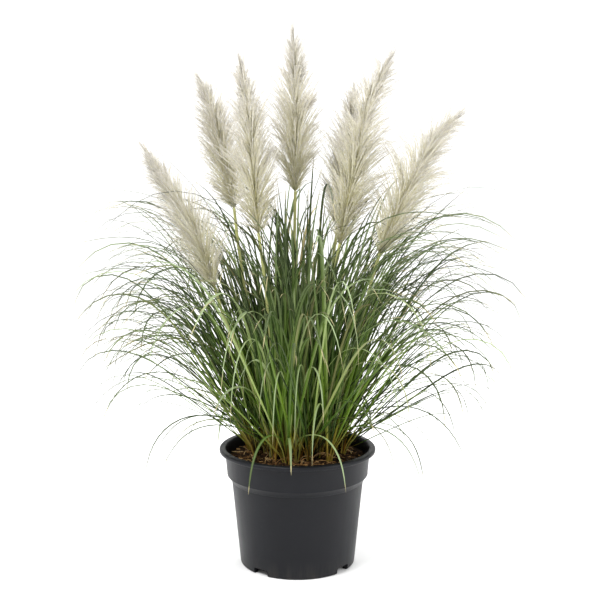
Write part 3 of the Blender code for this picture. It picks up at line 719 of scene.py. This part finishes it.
def make_soil(material, litter_material):
    """The soil that fills the pot, uneven at its top, and the litter that lies on it."""
    rng = np.random.default_rng(11)
    rings = np.linspace(0.0, 1.0, soil_rings + 1)[1:]
    angles = np.linspace(0, math.tau, soil_segments, endpoint=False)
    radius = rings[:, None] * soil_edge_radius
    x = radius * np.cos(angles)
    y = radius * np.sin(angles)
    rough = lumps(x, y, rng) + rng.uniform(-crumb_height, crumb_height, x.shape)
    calm_edge = np.minimum(1.0, (1.0 - rings[:, None]) * 8 + 0.3)
    z = soil_height(np.broadcast_to(radius, x.shape)) + rough * calm_edge
    top = np.stack([x, y, z], -1).reshape(-1, 3)
    bottom = floor_height + wall + soil_gap
    under = [(collar_foot_radius - wall - soil_gap, collar_foot_height + 2 * soil_gap),
             (body_top_radius - wall - soil_gap, body_top_height + 2 * soil_gap),
             (foot_radius - wall - soil_gap, bottom)]
    sides, _ = lathe(under, soil_segments)
    points = np.vstack([top, sides, (0, 0, soil_crown_height), (0, 0, bottom)])
    rows = len(rings) + len(under)
    k = np.arange(soil_segments)
    far = (k + 1) % soil_segments
    last = (rows - 1) * soil_segments
    centre = rows * soil_segments
    shape = Shape()
    shape.add(points, tube_faces(rows, soil_segments)[:, ::-1],
              np.vstack([np.stack([k, far, np.full_like(k, centre)], 1),
                         np.stack([last + far, last + k, np.full_like(k, centre + 1)], 1)]))
    soil = shape.build("soil_body", material)
    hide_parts("potting_soil")
    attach(soil, "root")
    litter = Shape()
    for add_bit, count in ((add_chip, bark_chips), (add_straw, straw_bits), (add_curl, dried_curls)):
        for _ in range(count):
            add_bit(litter, rng)
    piece = litter.build("soil_litter", litter_material, 40)
    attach(piece, "root")


def litter_place(rng, margin):
    """A random place on the soil, at least a margin inside its edge."""
    radius = (soil_edge_radius - margin) * math.sqrt(rng.uniform(0.05, 1.0))
    angle = rng.uniform(0, math.tau)
    return np.array([radius * math.cos(angle), radius * math.sin(angle), soil_height(radius)])


def add_chip(shape, rng):
    """One bark chip: a flat broken lump of eight corners."""
    size = rng.uniform(0.0016, 0.0050)
    box = np.array([[i, j, k] for k in (-1, 1) for i, j in ((-1, -1), (1, -1), (1, 1), (-1, 1))], float)
    box *= rng.uniform(0.55, 1.0, box.shape)
    box *= np.array([size, size * rng.uniform(0.4, 0.8), size * rng.uniform(0.18, 0.4)])
    heading = Matrix.Rotation(rng.uniform(0, math.tau), 3, "Z")
    turn = heading @ Matrix.Rotation(rng.uniform(-0.5, 0.5), 3, "X")
    place = litter_place(rng, 0.006)
    points = box @ np.array(turn).T + place + np.array([0, 0, size * 0.15])
    quads = [(0, 3, 2, 1), (4, 5, 6, 7), (0, 1, 5, 4), (1, 2, 6, 5), (2, 3, 7, 6), (3, 0, 4, 7)]
    shape.add(points, quads, tone=rng.beta(1.6, 2.2))


def add_straw(shape, rng):
    """One dry bit of leaf or root: a thin bent sliver."""
    length = rng.uniform(0.008, 0.026)
    heading = rng.uniform(0, math.tau)
    place = litter_place(rng, 0.014)
    along = np.linspace(-0.5, 0.5, 5) * length
    bend = rng.uniform(-0.25, 0.25) * length * (np.linspace(-1, 1, 5) ** 2)
    path = np.stack([along * math.cos(heading) - bend * math.sin(heading),
                     along * math.sin(heading) + bend * math.cos(heading),
                     rng.uniform(0.0004, 0.0022) + 0.0006 * np.linspace(-1, 1, 5) ** 2], 1) + place
    radius = rng.uniform(0.0003, 0.0008)
    add_tube(shape, path, radius * np.array([0.5, 1, 1, 0.9, 0.4]), 4, tone=rng.uniform(0.55, 1.0))


def add_curl(shape, rng):
    """One dried blade that curls over between the shoots."""
    tilts = np.linspace(rng.uniform(0.1, 0.7), rng.uniform(1.8, 2.9), 8)
    path = bent(litter_place(rng, 0.026), rng.uniform(0, math.tau), tilts, rng.uniform(0.020, 0.055))
    add_tube(shape, path, np.linspace(0.0008, 0.0003, len(path)), 4, tone=rng.uniform(0.6, 1.0))


# Flower stalks

def make_stem(name, material):
    """A stalk with a few joints, each with a slight swelling, from just under the soil to its plume."""
    rings = solid_stem(name)
    path = smooth_path(np.vstack([rings[0] - (0.0, 0.0, stem_start_depth), rings]), stem_rings)
    share = np.linspace(0, 1, len(path))
    radii = stem_foot_radius - stem_taper * share
    joint = np.zeros_like(share)
    for place in stem_joints:
        bump = np.exp(-((share - place) / joint_spread) ** 2)
        radii = radii + joint_swelling * bump + joint_step * (share < place)
        joint += bump
    shape = Shape()
    add_tube(shape, path, radii, 10, along=share, joint=joint)
    stem = shape.build(name.replace("flower_stem", "stalk"), material)
    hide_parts(name)
    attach(stem, "root")


# Plumes

def cross_pairs(directions):
    """For each direction, two directions square to it and to each other."""
    helper = np.where(np.abs(directions[:, 2:]) < 0.9, (0.0, 0.0, 1.0), (1.0, 0.0, 0.0))
    first = unit(np.cross(directions, helper))
    return first, np.cross(directions, first)


def add_hairs(shape, roots, directions, lengths, sag, places, **values):
    """Fine closed hairs of four faces, pointed at both ends and bent by their sag at their widest place."""
    count = len(roots)
    middle = roots + directions * (0.45 * lengths)[:, None]
    tips = middle + unit(directions + sag) * (0.55 * lengths)[:, None]
    side = unit(np.cross(directions, tips - roots)) * hair_radius
    points = np.stack([roots, middle + side, middle - side, tips], 1)
    faces = np.array([(0, 2, 1), (0, 1, 3), (1, 2, 3), (2, 0, 3)])
    faces = faces[None] + (np.arange(count) * 4)[:, None, None]
    along = places[:, None] + np.array([0.0, 0.1, 0.1, 0.2])
    spread = {name: np.repeat(value, 4) for name, value in values.items()}
    shape.add(points, None, faces, along=along.ravel(), **spread)


def branch_curve(base, control, tip, shares):
    """Points at shares of a curve that leaves its base towards a control point and ends at its tip."""
    shares = shares[:, None]
    return (1 - shares) ** 2 * base + 2 * shares * (1 - shares) * control + shares ** 2 * tip


def add_branch(shape, base, control, tip, height, tone, hairs, rng):
    """One branch of a plume: a slim stalk along a curve, feathered with hairs that lie forward."""
    body = branch_curve(base, control, tip, np.linspace(0, 1, 5))
    radii = branch_radius * np.array([1.0, 1.0, 0.95, 0.8, 0.5])
    green = (0.9 - 0.6 * height) * np.array([1.0, 0.8, 0.5, 0.2, 0.0])
    add_tube(shape, body, radii, 3, along=np.linspace(0.68, 1.0, 5), tone=tone, green=green)
    shares = 0.15 + 0.62 * rng.uniform(0, 1, hairs)
    roots = branch_curve(base, control, tip, shares)
    forward = unit(2 * (1 - shares)[:, None] * (control - base) + 2 * shares[:, None] * (tip - control))
    first, second = cross_pairs(forward)
    around = rng.uniform(0, math.tau, hairs)
    opening = np.radians(rng.uniform(4, 26, hairs))
    outward = first * np.cos(around)[:, None] + second * np.sin(around)[:, None]
    directions = forward * np.cos(opening)[:, None] + outward * np.sin(opening)[:, None]
    lengths = rng.uniform(*hair_lengths, hairs) * (1.0 - 0.4 * shares) * (1.0 - 0.2 * height)
    lengths *= min(1.0, 0.3 + np.linalg.norm(tip - base) / full_branch_length)
    sag = np.array([0.0, 0.0, -0.12]) + rng.normal(0, 0.10, (hairs, 3))
    tones = np.clip(tone + rng.normal(0, 0.15, hairs), 0, 1)
    olive = 0.32 * max(1.0 - height / 0.7, 0.0) * (1.0 - shares) ** 2
    add_hairs(shape, roots, directions, lengths, sag, shares, tone=tones, green=olive)


def plume_branches(axis, along, share, locks, rng):
    """Roots and tips of a plume's branches: its locks, more all round, and short ones at its ends."""
    branches = list(locks)
    for chosen in rng.integers(0, len(locks), branch_tries):
        lock_root, lock_tip = locks[chosen]
        place = np.argmin(np.linalg.norm(axis - lock_root, axis=1))
        turn = np.array(Matrix.Rotation(rng.uniform(-math.pi, math.pi), 3, Vector(along[place])))
        reach = turn @ (lock_tip - lock_root)
        upward = along[place] * (reach @ along[place])
        reach = upward + (reach - upward) * (1.05 + 1.0 * share[place])
        sideways = abs(unit(reach)[0])
        if rng.random() > (0.25 + 1.5 * sideways) * min(0.55 + 1.8 * share[place], 1.0):
            continue
        lift = along[place] * rng.uniform(0.0 if place < plume_foot_rings else -0.014, 0.010)
        root = axis[place] + turn @ (lock_root - axis[place]) + lift
        tip = root + reach * rng.triangular(0.38, 0.55, 0.92) * (1.0 + 0.6 * share[place])
        branches.append((root, tip))
    for place in rng.integers(0, foot_branch_rings, foot_branches):
        outward = unit(np.cross(along[place], rng.normal(0, 1, 3)))
        branches.append((axis[place], axis[place] + (outward + along[place]) * rng.uniform(0.006, 0.013)))
    for place in np.linspace(len(axis) - 12, len(axis) - 4, top_wisps).round().astype(int):
        tip = axis[-1] + rng.normal(0, 0.0036, 3) - along[-1] * rng.uniform(-0.010, 0.022)
        branches.append((axis[place], tip))
    return branches


def make_plume(name, number, material):
    """A feathery flower head: a thin midline, and curved branches at and between the frame's own locks."""
    axis, roots, tips = solid_plume(name)
    rng = np.random.default_rng(300 + number)
    along = tangents(axis)
    share = np.linspace(0, 1, len(axis))
    shape = Shape()
    add_tube(shape, axis, midline_foot_radius - midline_taper * share, 7, green=1.0 - share * 0.6,
             along=0.1, tone=0.5)
    for root, tip in plume_branches(axis, along, share, list(zip(roots, tips)), rng):
        place = np.argmin(np.linalg.norm(axis - root, axis=1))
        control = 0.5 * (root + tip) + along[place] * rng.uniform(0.12, 0.28) * np.linalg.norm(tip - root)
        height = share[place]
        tone = rng.uniform(0.6, 1.0) if rng.random() < 0.4 + 0.4 * height else rng.uniform(0.0, 0.4)
        hairs = round(hairs_per_branch * min(0.6 + 1.6 * height, 1.0))
        add_branch(shape, axis[max(place - 2, 0)], control, tip, height, tone, hairs, rng)
    plume = shape.build(name, material)
    plume.name = name.replace("plume", "feather_plume")
    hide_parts(name)
    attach(plume, "root")
    return axis[open_rings:]


# Blades

class Tuft:
    """One shoot of the clump: where it stands, and which way it faces."""

    def __init__(self, foot):
        self.foot = foot
        self.azimuth = math.atan2(foot[1] - crown_centre[1], foot[0] - crown_centre[0])
        self.outwardness = min(np.linalg.norm(foot[:2] - crown_centre) / crown_radius, 1.0)
        self.fan = np.array([-math.sin(self.azimuth), math.cos(self.azimuth), 0.0])
        self.outward = np.array([math.cos(self.azimuth), math.sin(self.azimuth), 0.0])

    def start(self, across, rng):
        """A place in the shoot's flat bundle at the soil, from -1 to 1 across its fan."""
        inout = rng.uniform(-bundle_half_depth, bundle_half_depth)
        place = self.foot + self.fan * across * bundle_half_width + self.outward * inout
        place[2] = soil_height(math.hypot(place[0], place[1])) - shoot_start_depth
        return place


def tilt_along(shares, lean, droop, bend):
    """A blade's angles from straight up along its length. In its sheath, at the bottom, it is steeper."""
    tilt = lean + (droop - lean) * np.sin(0.5 * math.pi * shares ** bend) ** 2
    freed = np.clip(shares / sheath_share, 0, 1)
    return tilt * (0.35 + 0.65 * freed)


def bent(start, azimuth, tilts, length):
    """The midline of a blade from its start, with its parts at the given tilts."""
    outward = np.sin(tilts)
    steps = np.stack([outward * math.cos(azimuth), outward * math.sin(azimuth), np.cos(tilts)], 1)
    return np.vstack([start, start + np.cumsum(steps, 0) * length / len(tilts)])


def arched(start, tip, droop, bend):
    """The midline of a blade from its start to its tip, with its end at the droop angle, or None."""
    reach = tip - start
    azimuth = math.atan2(reach[1], reach[0])
    run = math.hypot(reach[0], reach[1])
    chord = math.atan2(run, reach[2])
    low, high = math.radians(-25), math.radians(130)
    for _ in range(20):
        lean = 0.5 * (low + high)
        tilts = tilt_along(blade_middles, lean, droop, bend)
        outward, upward = np.sin(tilts).mean(), np.cos(tilts).mean()
        if math.atan2(outward, upward) < chord:
            low = lean
        else:
            high = lean
    length = math.hypot(run, reach[2]) / math.hypot(outward, upward)
    if not math.radians(-22) < lean < math.radians(68) or length > longest_blade:
        return None
    return bent(start, azimuth, tilts, length)


def fits(path, plume_axes):
    """Whether a blade is clear of the pot, above its lowest height, and neither in nor before a plume."""
    radius = np.hypot(path[:, 0], path[:, 1])
    low = path[:, 2] < pot_height + pot_room
    over_wall = low & (radius > lip_radius - lip_width - wall - pot_room) & (radius < lip_radius + pot_room)
    if over_wall.any() or radius.max() > blade_reach or path[1:, 2].min() < lowest_tip:
        return False
    gaps = path[:, None] - plume_axes[None]
    if np.linalg.norm(gaps, axis=2).min() < plume_room:
        return False
    seen_gaps = np.hypot(gaps[:, :, 0], gaps[:, :, 2])
    return seen_gaps[gaps[:, :, 1] < 0].min(initial=1.0) > room_before_plume


def add_blade(shape, path, width, twist, tone, dry):
    """A long blade folded along its midrib: a thin closed V that tapers to a point."""
    share = np.linspace(0, 1, len(path))
    along = tangents(path)
    reach = path[-1] - path[0]
    azimuth = math.atan2(reach[1], reach[0])
    side = np.array([-math.sin(azimuth), math.cos(azimuth), 0.0])
    side = unit(side - along * (along @ side)[:, None])
    above = np.cross(along, side)
    turn = (twist * share ** 1.4)[:, None]
    across = side * np.cos(turn) + above * np.sin(turn)
    above = np.cross(along, across)
    rise = np.clip(share / 0.25, 0, 1)
    widening = 0.50 + 0.50 * rise * rise * (3 - 2 * rise)
    half = 0.5 * width * widening * np.maximum(1.0 - share ** 4.5, 0.0) ** 0.8
    fold = half * (0.55 - 0.35 * share)
    keel = 0.0005 - 0.00035 * share
    section = ((-1.0, 1.0, 0.0), (0.0, 0.0, -1.0), (1.0, 1.0, 0.0), (0.0, 0.0, 0.0))
    rings = np.stack([path + across * (half * x)[:, None] + above * (fold * y + keel * z)[:, None]
                      for x, y, z in section], 1)
    points = np.vstack([rings[:-1].reshape(-1, 3), path[-1:]])
    sides = len(section)
    last = (len(path) - 2) * sides
    ends = [(last + k, last + (k + 1) % sides, last + sides) for k in range(sides)]
    ends += [(0, k + 1, k) for k in range(1, sides - 1)]
    lines = np.tile([x for x, _, _ in section], len(path) - 1)
    shape.add(points, tube_faces(len(path) - 1, sides), ends, across=np.append(lines, 0.0),
              along=np.append(np.repeat(share[:-1], sides), 1.0), tone=tone, dry=dry)


def random_blade(tuft, plume_axes, rng):
    """The midline of one more blade: inner shoots stand up, and outer ones arch over and hang."""
    for _ in range(blade_tries):
        across = rng.uniform(-1, 1)
        spread = math.radians(50.0 + 60.0 * (1.0 - tuft.outwardness))
        azimuth = tuft.azimuth + spread * across * rng.uniform(0.6, 1.2)
        azimuth -= side_pull * math.sin(2.0 * azimuth)
        polar = rng.normal(inner_polar + outer_polar * tuft.outwardness, polar_spread)
        polar += low_blade_polar if rng.random() < low_blade_share else 0.0
        # Most blades that lean to the front stand steeper
        if math.sin(azimuth) < -0.5 and rng.random() < 0.8:
            polar *= 0.58
        polar = min(max(polar, 4.0), 100.0)
        span = 0.49 + 0.15 * min(max((polar - 16.0) / 30.0, 0.0), 1.0) - 0.17 * (polar / 90.0) ** 4
        span *= rng.uniform(0.55, 1.0)
        droop = 8.0 + 2.3 * polar + rng.uniform(-20, 20)
        radius = min(span * math.sin(math.radians(polar)) + 0.02, blade_reach * rng.uniform(0.86, 0.998))
        height = max(0.215 + span * math.cos(math.radians(polar)), lowest_tip + rng.uniform(0.005, 0.08))
        tip = np.array([radius * math.cos(azimuth), radius * math.sin(azimuth), height])
        path = arched(tuft.start(across, rng), tip, math.radians(min(droop, 178.0)), rng.uniform(2.0, 4.2))
        if path is not None and fits(path, plume_axes):
            return path
    return None


def hanging_blade(tuft, plume_axes, rng):
    """The midline of a blade that rises from a front shoot and falls over in a high narrow arch."""
    for _ in range(blade_tries):
        azimuth = math.radians(-90.0 + 550.0 * tuft.foot[0] + rng.uniform(-42.0, 42.0))
        lean = math.radians(rng.uniform(0.0, 20.0))
        droop = math.radians(rng.uniform(171.0, 179.0))
        tilts = tilt_along(blade_middles, lean, droop, rng.uniform(1.2, 2.0))
        path = bent(tuft.start(rng.uniform(-1, 1), rng), azimuth, tilts, rng.uniform(0.28, 0.60))
        if fits(path, plume_axes):
            return path
    return None


def make_tuft(name, material, plume_axes):
    """A shoot: the frame's own blades, and among them the rest of its blades, packed at the bottom."""
    foot, routes = solid_blades(name)
    tuft = Tuft(foot)
    rng = np.random.default_rng(int(name[-2:]))
    shape = Shape()
    mean_tone = rng.uniform(0.2, 0.6)

    def finish(path, width, tone=None):
        """Add a blade, now and then a dry one, in a tone near the shoot's own unless one is given."""
        dry = 0.9 if rng.random() < 0.008 else float(rng.random() < 0.12) * rng.uniform(0.1, 0.3)
        if tone is None:
            # Painted shade: inner shoots get darker tones, and some blades, more often in inner shoots,
            # drop to a fifth of their tone and turn near black, for the shaded gaps of the clump; the rest
            # of the tone varies at random
            tone = np.clip(rng.normal(mean_tone + 0.10 * tuft.outwardness, 0.26), 0, 1)
            tone *= 1.0 if rng.random() < 0.6 + 0.25 * tuft.outwardness else 0.2
        add_blade(shape, path, width, rng.normal(0, 0.5), tone, dry)

    for route in routes:
        across = (route[0] - foot) @ tuft.fan / bundle_half_width
        start = tuft.start(np.clip(across, -1, 1), rng)
        path = eased(smooth_path(np.vstack([start, route]), blade_steps), 5)
        finish(path, mean_blade_width * rng.uniform(0.95, 1.15))
    for _ in range(round(least_blades + outer_blades * tuft.outwardness) - len(routes)):
        path = random_blade(tuft, plume_axes, rng)
        if path is not None:
            finish(path, mean_blade_width * rng.uniform(0.62, 1.05))
    for _ in range(rng.integers(1, 3) if foot[1] < front_line else 0):
        path = hanging_blade(tuft, plume_axes, rng)
        if path is not None:
            # Painted light: hanging blades take only the palest tones, for the lit tops and sheen of the
            # arches in front
            finish(path, mean_blade_width * rng.uniform(0.5, 0.8), rng.uniform(0.75, 1.0))
    piece = shape.build(name.replace("leaf_tuft", "shoot"), material, sharp_blade_edge)
    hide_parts(name)
    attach(piece, "root")


# Floor, lights and camera

def add_floor():
    """A pale floor that runs back and up into the backdrop."""
    bend = [(2.6 + 1.2 * math.sin(a), 1.2 - 1.2 * math.cos(a)) for a in np.linspace(0, math.pi / 2, 16)]
    profile = [(-4.0, 0.0)] + bend + [(3.8, 5.0)]
    points = [(x, y, z) for y, z in profile for x in (-6.0, 6.0)]
    quads = [(2 * i, 2 * i + 1, 2 * i + 3, 2 * i + 2) for i in range(len(profile) - 1)]
    shape = Shape()
    shape.add(points, quads)
    shape.build("studio_floor", floor_finish())


def add_light(name, place, target, size, power):
    """A round soft light that faces its target. Its power is in watts."""
    light = bpy.data.lights.new(name, "AREA")
    light.shape = "DISK"
    light.size = size
    light.energy = power
    lamp = new_object(name, light)
    lamp.location = place
    lamp.rotation_euler = (Vector(target) - Vector(place)).to_track_quat("-Z", "Y").to_euler()


def light_scene():
    """White surroundings, a key light at the left, a fill at the right and a light behind."""
    world = bpy.data.worlds.new("studio")
    world.use_nodes = True
    background = world.node_tree.nodes["Background"]
    background.inputs["Color"].default_value = (1.0, 1.0, 1.0, 1.0)
    background.inputs["Strength"].default_value = 0.66
    bpy.context.scene.world = world
    bpy.context.scene.view_settings.view_transform = "Standard"
    add_light("key", (-1.6, -1.5, 3.0), (0, 0, 0.4), 1.5, 120.0)
    add_light("fill", (2.4, -1.2, 1.8), (0, 0, 0.4), 2.2, 54.0)
    add_light("back", (0.6, 2.0, 2.8), (0, 0, 0.5), 2.0, 80.0)


def add_camera():
    """The camera in front of the pot, dipped a little."""
    camera = bpy.data.cameras.new("camera")
    camera.sensor_width = sensor_width
    camera.lens = focal_pixels / picture_size * sensor_width
    viewer = new_object("camera", camera)
    viewer.location = camera_place
    viewer.rotation_euler = (math.pi / 2 - camera_dip, 0.0, 0.0)
    bpy.context.scene.camera = viewer


add_camera()
light_scene()
add_floor()
make_pot(plastic_finish())
make_soil(soil_finish(), litter_finish())
stalk_green = stem_finish()
for stem_name in nodes_named("flower_stem_"):
    make_stem(stem_name, stalk_green)
hair_cream = plume_finish()
plume_axes = np.vstack([make_plume(plume_name, number, hair_cream)
                        for number, plume_name in enumerate(nodes_named("plume_"))])
blade_green = blade_finish()
for tuft_name in nodes_named("leaf_tuft_"):
    make_tuft(tuft_name, blade_green, plume_axes)
